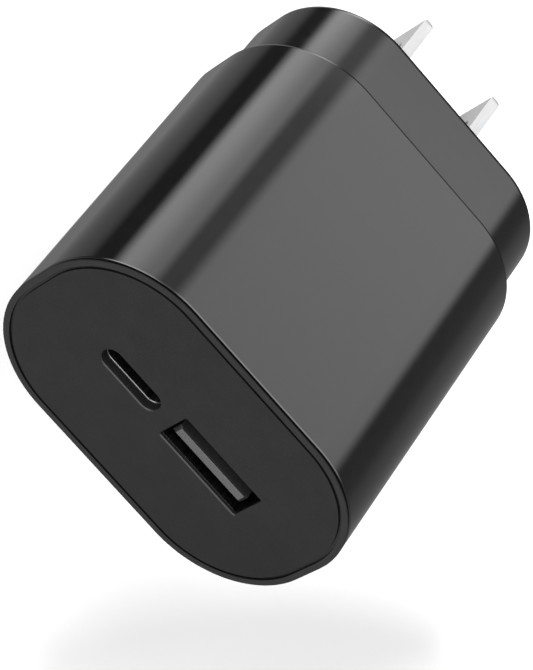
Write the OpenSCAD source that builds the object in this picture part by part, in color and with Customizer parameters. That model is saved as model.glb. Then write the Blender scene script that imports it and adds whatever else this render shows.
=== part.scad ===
// Two-port wall charger with fixed flat blades.
// Frame: origin at the centre of the wall face between the blades, X along the long side,
// +Y into the wall, +Z up through one broad face. The ports look along -Y.

/* [Case] */
// Width of the case across its long side
body_w = 44.5; // [44:0.5:50]
// Thickness of the case between its broad faces
body_t = 29; // [28:0.5:32]
// Corner radius of the case section
body_r = 12.5; // [12:0.5:13.5]
// Length of the case from the wall face to the port face
body_len = 54.4; // [53.8:0.2:58]
// Depth of the slimmer rear housing
neck_len = 11.5; // [10:0.1:12]
// Step from the case side to the rear housing side, across the width
neck_step_w = 1.55; // [1.5:0.05:1.7]
// Step from the broad face to the rear housing face
neck_step_t = 1.85; // [1.8:0.05:2]
// Wall thickness of the main shell
shell_wall = 2.2; // [2:0.1:2.3]
// Wall thickness of the rear housing
neck_wall = 2; // [1.8:0.1:2.2]

/* [Front] */
// Width of the bezel face round the port panel
bezel_w = 0.8; // [0.8:0.1:1.3]
// Chamfer on the outer edge of the bezel
bezel_chamfer = 0.05; // [0.05:0.05:0.1]
// Gap between the bezel and the panel, and between the bezel and the shell
seam_gap = 0.35; // [0.1:0.05:0.4]

/* [Ports] */
// Centre of the USB-C opening across the width
usb_c_x = -7; // [-8.5:0.1:-6.8]
// Centre of the USB-A opening across the width
usb_a_x = 6; // [5.8:0.1:7]
// Length of the USB-C opening
usb_c_open_w = 8.7; // [8.6:0.05:8.8]
// Height of the USB-C opening
usb_c_open_h = 2.9; // [2.8:0.05:3]
// Length of the USB-A opening
usb_a_open_w = 12.4; // [12.3:0.05:12.5]
// Height of the USB-A opening
usb_a_open_h = 4.95; // [4.8:0.05:5.1]

/* [Blades] */
// Distance between the blade centres
blade_pitch = 12.7; // [12.6:0.1:12.8]
// Length of a blade outside the wall face
blade_len = 18; // [15.9:0.1:18.3]
// Width of a blade
blade_w = 6.35; // [6.3:0.05:6.4]
// Thickness of a blade
blade_t = 1.5; // [1.4:0.05:1.65]
// Diameter of the detent hole in a blade
blade_hole_d = 3.2; // [3:0.1:3.3]
// Distance from the wall face to the detent hole
blade_hole_y = 11.7; // [11.5:0.1:12]

/* [Hidden] */
$fn = 96;

// Case stations along Y
front_y = -body_len;
shell_rear_y = -neck_len;
bezel_rim = 0.15;
shell_front_y = front_y + bezel_rim + seam_gap;
shell_edge_r = 0.2;
shell_rear_r = 0.5;

// Case cavity
cavity_w = body_w - 2 * shell_wall;
cavity_t = body_t - 2 * shell_wall;
cavity_r = body_r - shell_wall;

// Bezel and panel
seat_w = body_w - 2 * bezel_w;
seat_t = body_t - 2 * bezel_w;
seat_r = body_r - bezel_w;
seat_depth = 0.3;
seam_depth = 0.45;
mouth_wall = 0.5;
mouth_gap = 0.1;
mouth_depth = 1.3;
spigot_gap = 0.1;
spigot_wall = 1.2;
spigot_end_y = shell_front_y + 3.6;
panel_boss_gap = 0.1;
panel_back_y = front_y + 2;

// Rear housing
neck_w = body_w - 2 * neck_step_w;
neck_t = body_t - 2 * neck_step_t;
neck_r = 11;
neck_edge_r = 1;
neck_spigot_len = 3.4;

// Blades inside the case
slot_gap = 0.05;
head_w = 8.5;
head_depth = 1.5;
tail_w = 5;
tail_end_y = -9;
tip_bevel = 1.2;
tip_land = 0.5;
tip_corner_r = 1.4;
carrier_w = 22;
carrier_t = 12;
carrier_back_y = -5.5;
contact_y0 = -8.8;
contact_y1 = -6;
contact_top = 2;
contact_strip = 0.4;
contact_foot = 2.6;

// Circuit boards
board_top = -8;
board_t = 1.2;
board_w = 28;
board_front_y = -42.5;
board_rear_y = -4.5;
port_board_y = -41.2;
port_board_w = 33;
port_board_top = 9;
tab_x = 9;
tab_w = 4;
rail_in = 13.2;
rail_t = 1;
rail_gap = 0.1;
rail_top_out = cavity_w / 2 - 0.5;
rail_low_out = cavity_w / 2 - 2.8;
rail_front_y = -39.8;
rail_rear_y = -24;

// Receptacles: shell sizes outside, wall, and where the mouths stand behind the port face
usb_c_w = 8.94;
usb_c_h = 3.16;
usb_c_wall = 0.3;
usb_c_mouth_y = front_y + 1.2;
usb_c_tongue_y = usb_c_mouth_y + 0.9;
usb_c_base_y = usb_c_mouth_y + 6.4;
usb_c_tongue_w = 6.7;
usb_c_tongue_t = 0.7;
usb_c_pin_pitch = 0.5;
usb_c_pin_w = 0.24;
usb_c_pin_t = 0.1;
usb_c_pin_y = usb_c_tongue_y + 0.6;
usb_a_w = 13.1;
usb_a_h = 5.7;
usb_a_wall = 0.3;
usb_a_mouth_y = front_y + 0.5;
usb_a_tongue_y = front_y + 0.8;
usb_a_tongue_w = 11.1;
usb_a_tongue_t = 1.84;
usb_a_tongue_gap = 0.66;
usb_a_tongue_z = usb_a_tongue_gap + usb_a_tongue_t / 2 - (usb_a_h / 2 - usb_a_wall);
usb_a_base_y = -42.8;
usb_a_pin_x = [-3.5, -1, 1, 3.5];
usb_a_pin_w = 1;
usb_a_pin_t = 0.3;
usb_a_pin_y = usb_a_tongue_y + 2.5;
finger_w = 1.8;
finger_slit = 0.35;
finger_x = 3;
finger_y0 = usb_a_mouth_y + 2;
finger_y1 = usb_a_mouth_y + 6.5;
leg_w = 0.6;
leg_t = 0.3;
leg_z = 0.8;
leg_root = 0.3;
leg_out = 0.6;
leg_gap = 0.1;

// Parts that stand on the main board
lead_d = 0.6;
lead_hole_d = 0.9;
lead_end_z = -10.2;
fuse_y = -8;
fuse_d = 3.5;
fuse_len = 8;
fuse_lead_x = 5;
cap_x = 8;
cap_y = -17;
cap_d = 10;
cap_h = 15.5;
seal_h = 0.8;
cap_pitch = 5;
choke_y = -13.2;
choke_d = 6;
choke_h = 8;
choke_pitch = 3;
ycap_y = -19.3;
ycap_d = 5.8;
ycap_t = 3.4;
ycap_pitch = 4;
out_cap_x = 9.9;
out_cap_ys = [-35.2, -28];
out_cap_d = 6.3;
out_cap_h = 9;
out_cap_pitch = 2.5;

// Transformer
tr_x = -3.1;
tr_y = -30.6;
tr_z = 0.6;
core_w = 19;
core_half_len = 8;
core_t = 5;
core_back = 2.6;
core_leg = 2.4;
core_centre = 4.8;
bobbin_wall = 0.7;
flange_t = 0.8;
flange_w = 13.8;
flange_h = 13.6;
winding_len = 2 * (core_half_len - core_back - flange_t) - 0.2;
primary_t = 1.8;
secondary_t = 1;
tape_t = 0.25;
pin_rows = [-6.4, 6.4];
pin_xs = [-4.5, -1.5, 1.5, 4.5];
pin_rail_len = 3.4;

// Heat spreader above the transformer, and the sheet under the main board
spreader_z = 9.9;
spreader_t = 0.5;
spreader_w = 24;
spreader_front_y = -39.5;
spreader_rear_y = -15.5;
pad_w = 12;
sheet_w = 22.6;
sheet_t = 0.4;
sheet_z = -12.1;
sheet_front_y = -41;

lead_points = concat(
    [for (s = [-1, 1]) [s * fuse_lead_x, fuse_y]],
    [for (s = [-1, 1], t = [-1, 1]) [s * cap_x, cap_y + t * cap_pitch / 2]],
    [for (s = [-1, 1]) [s * choke_pitch / 2, choke_y]],
    [for (s = [-1, 1]) [0, ycap_y + s * ycap_pitch / 2]],
    [for (y = out_cap_ys, s = [-1, 1]) [out_cap_x, y + s * out_cap_pitch / 2]],
    [for (row = pin_rows, x = pin_xs) [tr_x + x, tr_y + row]]);

// ---- shared shapes ----

// Rectangle with round corners, centred; with r at half its height it is a slot with round ends
module round_rect(w, t, r) {
    square([w - 2 * r, t], center = true);
    if (t > 2 * r) square([w, t - 2 * r], center = true);
    for (sx = [-1, 1], sy = [-1, 1])
        translate([sx * (w / 2 - r), sy * (t / 2 - r)]) circle(r);
}

// Straight prism of a round rectangle along Y, from y0 to y1
module prism(w, t, r, y0, y1) {
    translate([0, y0, 0]) rotate([-90, 0, 0]) linear_extrude(y1 - y0) round_rect(w, t, r);
}

// Half section of a block: reach r out from its axis, with radius r0 at its low end and r1 at
// its high end; r0 is never more than r1
module edge_section(r, len, r0, r1) {
    translate([0, r0]) square([r, len - r0 - r1]);
    square([r - r1, len]);
    square([r - r0, len - r1]);
    if (r0 > 0) translate([r - r0, r0]) circle(r0, $fn = 48);
    translate([r - r1, len - r1]) circle(r1, $fn = 48);
}

// Block along Y whose end edges follow the half section given as child
module edged_block(w, t, r, y0, len) {
    flat_w = w / 2 - r;
    flat_t = t / 2 - r;
    translate([0, y0, 0]) {
        for (sx = [-1, 1], sz = [-1, 1])
            translate([sx * flat_w, 0, sz * flat_t]) rotate([-90, 0, 0])
                rotate_extrude() children();
        rotate([0, -90, 0]) linear_extrude(2 * flat_w, center = true)
            both_sides(flat_t, len) children();
        linear_extrude(2 * flat_t, center = true) both_sides(flat_w, len) children();
    }
}

// A half section and its mirror, either side of a flat middle
module both_sides(flat, len) {
    translate([-flat, 0]) square([2 * flat, len]);
    for (s = [0, 1]) mirror([s, 0]) translate([flat, 0]) children();
}

module box(x0, x1, y0, y1, z0, z1) {
    translate([x0, y0, z0]) cube([x1 - x0, y1 - y0, z1 - z0]);
}

// Upright cylinder on the main board
module post(x, y, z0, z1, d) {
    translate([x, y, z0]) cylinder(h = z1 - z0, d = d);
}

module leads(points, z_top) {
    for (p = points) post(p[0], p[1], lead_end_z, z_top, lead_d);
}

// Flat-pack part under the main board: body and a row of legs on two sides
module chip_below(x, y, w, d, h, legs, pitch) {
    top = board_top - board_t;
    standoff = 0.15;
    foot_w = 0.4;
    foot_t = 0.2;
    foot_root = 0.3;
    foot_reach = 1;
    box(x - w / 2, x + w / 2, y - d / 2, y + d / 2, top - h, top - standoff);
    for (i = [0 : legs - 1], s = [0, 1])
        translate([x + (i - (legs - 1) / 2) * pitch, y, 0]) mirror([0, s, 0])
            box(-foot_w / 2, foot_w / 2, d / 2 - foot_root, d / 2 + foot_reach,
                top - foot_t, top);
}

// ---- case ----

module main_shell() color("#1b1b1d") {
    len = shell_rear_y - shell_front_y;
    difference() {
        edged_block(body_w, body_t, body_r, shell_front_y, len)
            edge_section(body_r, len, shell_edge_r, shell_rear_r);
        prism(cavity_w, cavity_t, cavity_r, shell_front_y - 1, shell_rear_y + 1);
        prism(body_w - 2 * mouth_wall, body_t - 2 * mouth_wall, body_r - mouth_wall,
            shell_front_y - 1, shell_front_y + mouth_depth);
    }
    board_rails();
}

// Two pairs of rails that the main board slides into
module board_rails() {
    top_z = board_top + rail_gap;
    low_z = board_top - board_t - rail_gap;
    for (s = [0, 1]) mirror([s, 0, 0]) {
        box(rail_in, rail_top_out, rail_front_y, rail_rear_y, top_z, top_z + rail_t);
        box(rail_in, rail_low_out, rail_front_y, rail_rear_y, low_z - rail_t, low_z);
    }
}

module rear_housing() color("#1b1b1d") {
    slot = [blade_t + 2 * slot_gap, 2 * neck_wall + 2, blade_w + 2 * slot_gap];
    difference() {
        union() {
            edged_block(neck_w, neck_t, neck_r, shell_rear_y, neck_len)
                edge_section(neck_r, neck_len, 0, neck_edge_r);
            prism(cavity_w - 2 * spigot_gap, cavity_t - 2 * spigot_gap, cavity_r - spigot_gap,
                shell_rear_y - neck_spigot_len, shell_rear_y + 1);
        }
        prism(neck_w - 2 * neck_wall, neck_t - 2 * neck_wall, neck_r - neck_wall,
            shell_rear_y - neck_spigot_len - 1, -neck_wall);
        for (s = [-1, 1]) translate([s * blade_pitch / 2, 0, 0]) cube(slot, center = true);
    }
}

module bezel_ring() color("#2c2c2e") {
    body_gap = mouth_wall + mouth_gap;
    spigot = shell_wall + spigot_gap;
    difference() {
        union() {
            edged_block(body_w, body_t, body_r, front_y, bezel_rim) bezel_section();
            prism(body_w - 2 * seam_depth, body_t - 2 * seam_depth, body_r - seam_depth,
                front_y + bezel_rim - 0.1, shell_front_y);
            prism(body_w - 2 * body_gap, body_t - 2 * body_gap, body_r - body_gap,
                front_y + bezel_rim - 0.1, shell_front_y + mouth_depth);
            prism(body_w - 2 * spigot, body_t - 2 * spigot, body_r - spigot,
                shell_front_y + 0.1, spigot_end_y);
        }
        prism(seat_w, seat_t, seat_r, front_y - 1, front_y + seat_depth);
        panel_well(0, front_y - 1, spigot_end_y + 1);
    }
}

// Chamfered half section of the bezel rim
module bezel_section() {
    polygon([[0, 0], [body_r - bezel_chamfer, 0], [body_r, bezel_chamfer],
        [body_r, bezel_rim], [0, bezel_rim]]);
}

// Opening inside the bezel, or the panel's boss when it is given a gap
module panel_well(gap, y0, y1) {
    inset = shell_wall + spigot_gap + spigot_wall + gap;
    prism(body_w - 2 * inset, body_t - 2 * inset, body_r - inset, y0, y1);
}

module port_panel() color("#333433") {
    difference() {
        union() {
            prism(seat_w - 2 * seam_gap, seat_t - 2 * seam_gap, seat_r - seam_gap,
                front_y, front_y + seat_depth);
            panel_well(panel_boss_gap, front_y, panel_back_y);
        }
        translate([usb_c_x, 0, 0]) {
            prism(usb_c_open_w, usb_c_open_h, usb_c_open_h / 2, front_y - 1, panel_back_y + 1);
            prism(usb_c_w + 0.1, usb_c_h + 0.1, usb_c_h / 2 + 0.05, usb_c_mouth_y, panel_back_y + 1);
        }
        translate([usb_a_x, 0, 0]) {
            prism(usb_a_open_w, usb_a_open_h, 0.3, front_y - 1, panel_back_y + 1);
            prism(usb_a_w + 0.1, usb_a_h + 0.1, 0.3, usb_a_mouth_y, panel_back_y + 1);
        }
    }
}

// ---- blades and their contacts ----

module blade(x) color("#c9cacd") {
    translate([x, 0, 0]) difference() {
        intersection() {
            union() {
                box(-blade_t / 2, blade_t / 2, -neck_wall, blade_len - tip_corner_r,
                    -blade_w / 2, blade_w / 2);
                box(-blade_t / 2, blade_t / 2, 0, blade_len,
                    tip_corner_r - blade_w / 2, blade_w / 2 - tip_corner_r);
                for (s = [-1, 1])
                    translate([0, blade_len - tip_corner_r, s * (blade_w / 2 - tip_corner_r)])
                        rotate([0, 90, 0]) cylinder(h = blade_t, r = tip_corner_r, center = true);
                box(-blade_t / 2, blade_t / 2, -neck_wall - head_depth, -neck_wall,
                    -head_w / 2, head_w / 2);
                box(-blade_t / 2, blade_t / 2, tail_end_y, -neck_wall, -tail_w / 2, tail_w / 2);
            }
            linear_extrude(2 * head_w, center = true) polygon([
                [-blade_t / 2, tail_end_y], [blade_t / 2, tail_end_y],
                [blade_t / 2, blade_len - tip_bevel], [tip_land / 2, blade_len],
                [-tip_land / 2, blade_len], [-blade_t / 2, blade_len - tip_bevel]]);
        }
        translate([0, blade_hole_y, 0]) rotate([0, 90, 0])
            cylinder(h = blade_t + 1, d = blade_hole_d, center = true);
    }
}

module blade_left() blade(-blade_pitch / 2);

module blade_right() blade(blade_pitch / 2);

// Moulded block that traps the blade heads against the rear wall
module blade_carrier() color("#d8d4c8") {
    difference() {
        box(-carrier_w / 2, carrier_w / 2, carrier_back_y, -neck_wall, -carrier_t / 2, carrier_t / 2);
        for (s = [-1, 1]) translate([s * blade_pitch / 2, 0, 0]) {
            box(-blade_t / 2, blade_t / 2, -neck_wall - head_depth, 0, -head_w / 2, head_w / 2);
            box(-blade_t / 2, blade_t / 2, carrier_back_y - 1, 0, -tail_w / 2, tail_w / 2);
        }
    }
}

// Spring strip from the main board up to the outer face of one blade tail
module tail_contact() color("#c58b45") {
    inner = blade_pitch / 2 + blade_t / 2;
    box(inner, inner + contact_strip, contact_y0, contact_y1, board_top, contact_top);
    box(inner, inner + contact_foot, contact_y0, contact_y1, board_top,
        board_top + contact_strip);
}

module line_contact() mirror([1, 0, 0]) tail_contact();

module neutral_contact() tail_contact();

// ---- boards ----

module main_board() color("#2f6b3a") {
    difference() {
        box(-board_w / 2, board_w / 2, board_front_y, board_rear_y, board_top - board_t, board_top);
        for (p = lead_points) post(p[0], p[1], board_top - board_t - 1, board_top + 1, lead_hole_d);
        for (s = [-1, 1]) translate([s * tab_x, 0, 0])
            box(-tab_w / 2 - 0.1, tab_w / 2 + 0.1, port_board_y - 0.1, port_board_y + board_t + 0.1,
                board_top - board_t - 1, board_top + 1);
    }
}

module port_board() color("#2f6b3a") {
    corner = 2;
    difference() {
        union() {
            translate([0, port_board_y + board_t, 0]) rotate([90, 0, 0]) linear_extrude(board_t)
                polygon([[-port_board_w / 2, board_top], [port_board_w / 2, board_top],
                    [port_board_w / 2, port_board_top - corner],
                    [port_board_w / 2 - corner, port_board_top],
                    [corner - port_board_w / 2, port_board_top],
                    [-port_board_w / 2, port_board_top - corner]]);
            for (s = [-1, 1]) translate([s * tab_x, 0, 0])
                box(-tab_w / 2, tab_w / 2, port_board_y, port_board_y + board_t,
                    board_top - board_t - 0.5, board_top + 0.5);
        }
        shell_legs(usb_c_x, usb_c_w, leg_gap);
        shell_legs(usb_a_x, usb_a_w, leg_gap);
    }
}

// ---- receptacles ----

// Four legs of a receptacle shell through the port board, or their holes when given a gap
module shell_legs(x, w, gap) {
    for (sx = [-1, 1], sz = [-1, 1])
        translate([x + sx * (w - leg_t) / 2, port_board_y, sz * leg_z])
            box(-leg_t / 2 - gap, leg_t / 2 + gap, -leg_root, board_t + leg_out,
                -leg_w / 2 - gap, leg_w / 2 + gap);
}

module usb_c_shell() color("#b9bbbe") {
    inner_h = usb_c_h - 2 * usb_c_wall;
    translate([usb_c_x, 0, 0]) difference() {
        prism(usb_c_w, usb_c_h, usb_c_h / 2, usb_c_mouth_y, port_board_y);
        prism(usb_c_w - 2 * usb_c_wall, inner_h, inner_h / 2,
            usb_c_mouth_y - 1, port_board_y + 1);
    }
    shell_legs(usb_c_x, usb_c_w, 0);
}

module usb_c_tongue() color("#17171a") {
    inner_w = usb_c_w - 2 * usb_c_wall;
    inner_h = usb_c_h - 2 * usb_c_wall;
    translate([usb_c_x, 0, 0]) {
        prism(inner_w, inner_h, inner_h / 2, usb_c_base_y, port_board_y);
        difference() {
            box(-usb_c_tongue_w / 2, usb_c_tongue_w / 2, usb_c_tongue_y, usb_c_base_y + 0.1,
                -usb_c_tongue_t / 2, usb_c_tongue_t / 2);
            usb_c_strips();
        }
    }
}

module usb_c_strips() {
    for (i = [-5.5 : 5.5], s = [0, 1])
        translate([i * usb_c_pin_pitch, 0, 0]) mirror([0, 0, s])
            box(-usb_c_pin_w / 2, usb_c_pin_w / 2, usb_c_pin_y, usb_c_base_y,
                usb_c_tongue_t / 2 - usb_c_pin_t, usb_c_tongue_t / 2);
}

module usb_c_contacts() color("#d8b45a") translate([usb_c_x, 0, 0]) usb_c_strips();

module usb_a_shell() color("#b9bbbe") {
    inner_w = usb_a_w - 2 * usb_a_wall;
    inner_h = usb_a_h - 2 * usb_a_wall;
    translate([usb_a_x, 0, 0]) difference() {
        prism(usb_a_w, usb_a_h, 0.5, usb_a_mouth_y, port_board_y);
        prism(inner_w, inner_h, 0.2, usb_a_mouth_y - 1, port_board_y + 1);
        for (sx = [-1, 1], sz = [-1, 1]) translate([sx * finger_x, 0, sz * usb_a_h / 2])
            spring_cutout();
    }
    shell_legs(usb_a_x, usb_a_w, 0);
}

// U-shaped slit that frees one spring finger in the shell wall
module spring_cutout() {
    for (s = [-1, 1]) translate([s * (finger_w + finger_slit) / 2, 0, 0])
        box(-finger_slit / 2, finger_slit / 2, finger_y0, finger_y1, -1, 1);
    box(-finger_w / 2 - finger_slit, finger_w / 2 + finger_slit,
        finger_y1, finger_y1 + finger_slit, -1, 1);
}

module usb_a_tongue() color("#6b6b6b") {
    inner_w = usb_a_w - 2 * usb_a_wall;
    inner_h = usb_a_h - 2 * usb_a_wall;
    translate([usb_a_x, 0, 0]) difference() {
        union() {
            prism(inner_w, inner_h, 0.2, usb_a_base_y, port_board_y);
            translate([0, 0, usb_a_tongue_z])
                prism(usb_a_tongue_w, usb_a_tongue_t, 0.2, usb_a_tongue_y, usb_a_base_y + 0.1);
        }
        usb_a_strips();
    }
}

module usb_a_strips() {
    top = usb_a_tongue_z + usb_a_tongue_t / 2;
    for (x = usb_a_pin_x)
        box(x - usb_a_pin_w / 2, x + usb_a_pin_w / 2, usb_a_pin_y, port_board_y,
            top - usb_a_pin_t, top);
}

module usb_a_contacts() color("#d8b45a") translate([usb_a_x, 0, 0]) usb_a_strips();

// ---- parts on the main board ----

module fuse() color("#3a5f8a") {
    z = board_top + fuse_d / 2 + 0.3;
    translate([0, fuse_y, z]) rotate([0, 90, 0]) cylinder(h = fuse_len, d = fuse_d, center = true);
    translate([0, fuse_y, z]) rotate([0, 90, 0])
        cylinder(h = 2 * fuse_lead_x + lead_d, d = lead_d, center = true);
    leads([for (s = [-1, 1]) [s * fuse_lead_x, fuse_y]], z);
}

module bridge_rectifier() color("#202022") chip_below(
    x = -4.2, y = -20.5, w = 6, d = 4.4, h = 1.5, legs = 2, pitch = 4);

module filter_choke_core() color("#4a4a4d") {
    z0 = board_top + 0.3;
    rim = 1;
    post(0, choke_y, z0, z0 + rim, choke_d);
    post(0, choke_y, z0, z0 + choke_h, choke_d / 2);
    post(0, choke_y, z0 + choke_h - rim, z0 + choke_h, choke_d);
}

module filter_choke_winding() color("#b5652b") {
    z0 = board_top + 1.3;
    difference() {
        post(0, choke_y, z0, z0 + choke_h - 2, choke_d - 0.6);
        post(0, choke_y, z0 - 1, z0 + choke_h, choke_d / 2);
    }
}

// Aluminium can with a rolled waist near its mouth
module can(x, y, d, h) {
    z0 = board_top + 0.3;
    waist = 0.35;
    difference() {
        post(x, y, z0, z0 + h, d);
        post(x, y, z0 - 1, z0 + seal_h, d - 0.6);
        translate([x, y, z0 + 1.8]) rotate_extrude() translate([d / 2, 0]) circle(waist, $fn = 24);
    }
}

module input_capacitor(side) {
    can(side * cap_x, cap_y, cap_d, cap_h);
    leads([for (t = [-1, 1]) [side * cap_x, cap_y + t * cap_pitch / 2]], board_top + 1.2);
}

module input_capacitor_left() color("#2b2f6e") input_capacitor(-1);

module input_capacitor_right() color("#2b2f6e") input_capacitor(1);

// Rubber seal in the mouth of each can
module seal(x, y, d, pitch) {
    z0 = board_top + 0.3;
    difference() {
        post(x, y, z0, z0 + seal_h, d - 0.6);
        for (s = [-1, 1]) post(x, y + s * pitch / 2, z0 - 1, z0 + 2, lead_d);
    }
}

module capacitor_seals() color("#1a1a1a") {
    for (s = [-1, 1]) seal(s * cap_x, cap_y, cap_d, cap_pitch);
    for (y = out_cap_ys) seal(out_cap_x, y, out_cap_d, out_cap_pitch);
}

module output_capacitors() color("#c4c5c8") {
    for (y = out_cap_ys) {
        can(out_cap_x, y, out_cap_d, out_cap_h);
        leads([for (s = [-1, 1]) [out_cap_x, y + s * out_cap_pitch / 2]], board_top + 1.2);
    }
}

module y_capacitor() color("#2a6fb0") {
    z = board_top + 0.8 + ycap_d / 2;
    translate([0, ycap_y, z]) rotate([0, 90, 0]) cylinder(h = ycap_t, d = ycap_d, center = true);
    leads([for (s = [-1, 1]) [0, ycap_y + s * ycap_pitch / 2]], z);
}

module primary_controller() color("#202022") chip_below(
    x = 6, y = -27, w = 4.9, d = 3.9, h = 1.6, legs = 4, pitch = 1.27);

module optocoupler() color("#ece9e0") chip_below(
    x = -6, y = -33, w = 4.4, d = 4.4, h = 2.2, legs = 2, pitch = 2.54);

module sync_rectifier() color("#202022") chip_below(
    x = 5.6, y = -33, w = 4.9, d = 3.9, h = 1.6, legs = 4, pitch = 1.27);

module pd_controller() color("#202022") {
    y = port_board_y + board_t;
    body = 4;
    thickness = 0.85;
    translate([-12, y, 4]) box(-body / 2, body / 2, 0, thickness, -body / 2, body / 2);
}

// Small chip resistors and capacitors soldered under the main board
module chip_parts() color("#b8a888") {
    top = board_top - board_t;
    long = 1.6;
    short = 0.8;
    tall = 0.6;
    across_pitch = 2.4;
    row_pitch = 1.4;
    column_pitch = 2.6;
    for (i = [0 : 4], j = [0 : 2])
        translate([across_pitch * i - 10.5, row_pitch * j - 28.5, top - tall])
            box(-long / 2, long / 2, -short / 2, short / 2, 0, tall);
    for (j = [0 : 4])
        translate([11, column_pitch * j - 36, top - tall])
            box(-short / 2, short / 2, -long / 2, long / 2, 0, tall);
}

// ---- transformer ----

// Half of an E core pair; its open legs meet the other half at tr_y
module core_half() {
    half = core_w / 2;
    difference() {
        box(-half, half, 0, core_half_len, -core_t / 2, core_t / 2);
        for (s = [0, 1]) mirror([s, 0, 0])
            box(core_centre / 2, half - core_leg, -1, core_half_len - core_back,
                -core_t, core_t);
    }
}

module transformer_core_rear() color("#3c3c40") translate([tr_x, tr_y, tr_z]) core_half();

module transformer_core_front() color("#3c3c40")
    translate([tr_x, tr_y, tr_z]) mirror([0, 1, 0]) core_half();

// Rectangular tube round the centre leg, t thick and starting gap out from it
module leg_tube(gap, t, len) {
    w = core_centre + 2 * gap;
    h = core_t + 2 * gap;
    difference() {
        cube([w + 2 * t, len, h + 2 * t], center = true);
        cube([w, len + 1, h], center = true);
    }
}

module transformer_bobbin() color("#1f1f22") {
    len = 2 * (core_half_len - core_back);
    clear = 0.1;
    translate([tr_x, tr_y, tr_z]) {
        leg_tube(clear, bobbin_wall - clear, len);
        for (s = [-1, 1]) translate([0, s * (len - flange_t) / 2, 0]) difference() {
            cube([flange_w, flange_t, flange_h], center = true);
            cube([core_centre + 2 * clear, 2, core_t + 2 * clear], center = true);
        }
        for (row = pin_rows) pin_rail(row);
    }
    leads([for (row = pin_rows, x = pin_xs) [tr_x + x, tr_y + row]], board_top + 1);
}

// Pin rail under one end of the bobbin, resting on the main board
module pin_rail(row) {
    foot = board_top - tr_z;
    inner_y = core_half_len - core_back - flange_t;
    translate([0, 0, foot]) mirror([0, row > 0 ? 0 : 1, 0])
        box(-flange_w / 2, flange_w / 2, inner_y, inner_y + pin_rail_len,
            0, -flange_h / 2 - foot + 1);
}

module primary_winding() color("#b5652b") translate([tr_x, tr_y, tr_z])
    leg_tube(bobbin_wall, primary_t, winding_len);

module secondary_winding() color("#d9a441") translate([tr_x, tr_y, tr_z])
    leg_tube(bobbin_wall + primary_t, secondary_t, winding_len);

module transformer_tape() color("#e8c53a") translate([tr_x, tr_y, tr_z])
    leg_tube(bobbin_wall + primary_t + secondary_t, tape_t, winding_len);

// ---- heat and insulation ----

module thermal_pad() color("#9aa7b5") {
    tape_top = tr_z + core_t / 2 + bobbin_wall + primary_t + secondary_t + tape_t;
    box(tr_x - pad_w / 2, tr_x + pad_w / 2, tr_y - winding_len / 2, tr_y + winding_len / 2,
        tape_top, spreader_z);
}

module heat_spreader() color("#c4c5c8") box(-spreader_w / 2, spreader_w / 2,
    spreader_front_y, spreader_rear_y, spreader_z, spreader_z + spreader_t);

module insulation_sheet() color("#e6e2d2") box(-sheet_w / 2, sheet_w / 2,
    sheet_front_y, spreader_rear_y, sheet_z, sheet_z + sheet_t);

main_shell();
rear_housing();
bezel_ring();
port_panel();
blade_left();
blade_right();
blade_carrier();
line_contact();
neutral_contact();
main_board();
port_board();
usb_c_shell();
usb_c_tongue();
usb_c_contacts();
usb_a_shell();
usb_a_tongue();
usb_a_contacts();
fuse();
bridge_rectifier();
filter_choke_core();
filter_choke_winding();
input_capacitor_left();
input_capacitor_right();
capacitor_seals();
primary_controller();
transformer_core_front();
transformer_core_rear();
transformer_bobbin();
primary_winding();
secondary_winding();
transformer_tape();
y_capacitor();
optocoupler();
sync_rectifier();
output_capacitors();
pd_controller();
chip_parts();
thermal_pad();
heat_spreader();
insulation_sheet();
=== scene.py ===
import math

import bmesh
import bpy
from mathutils import Matrix, Quaternion, Vector


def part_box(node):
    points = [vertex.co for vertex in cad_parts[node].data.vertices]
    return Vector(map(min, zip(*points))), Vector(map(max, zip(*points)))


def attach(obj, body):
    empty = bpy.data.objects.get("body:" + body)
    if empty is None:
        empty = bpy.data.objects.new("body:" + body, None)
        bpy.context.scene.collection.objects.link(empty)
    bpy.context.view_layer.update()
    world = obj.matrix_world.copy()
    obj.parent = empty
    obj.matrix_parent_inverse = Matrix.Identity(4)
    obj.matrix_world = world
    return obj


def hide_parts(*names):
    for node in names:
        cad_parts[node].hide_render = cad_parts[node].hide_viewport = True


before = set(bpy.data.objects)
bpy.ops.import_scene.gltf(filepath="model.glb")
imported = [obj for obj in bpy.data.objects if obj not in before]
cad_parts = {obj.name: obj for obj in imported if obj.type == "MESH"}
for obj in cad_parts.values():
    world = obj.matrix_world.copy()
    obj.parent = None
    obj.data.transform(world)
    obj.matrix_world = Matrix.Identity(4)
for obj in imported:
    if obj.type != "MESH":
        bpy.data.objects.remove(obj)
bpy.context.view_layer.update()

# Two-port wall charger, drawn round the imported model. Sizes are in millimetres and become
# metres only where vertices are made. +Y goes into the wall, +Z is up through a broad face.

MM = 0.001
MERGE = 1e-8
CORNER_STEPS = 28
EDGE_STEPS = 5
TURN_STEPS = 64
SMOOTH_ANGLE = math.radians(36)


# ---- sizes ----

def size_of(node):
    """Lowest corner, highest corner and size of a CAD node, in millimetres."""
    low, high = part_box(node)
    return low / MM, high / MM, (high - low) / MM


def centre_x(node):
    low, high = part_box(node)
    return (low.x + high.x) / 2 / MM


shell_low, shell_high, shell_size = size_of("main_shell")
neck_low, _, neck_size = size_of("rear_housing")
bezel_low, bezel_high, _ = size_of("bezel_ring")
_, panel_high, _ = size_of("port_panel")

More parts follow.
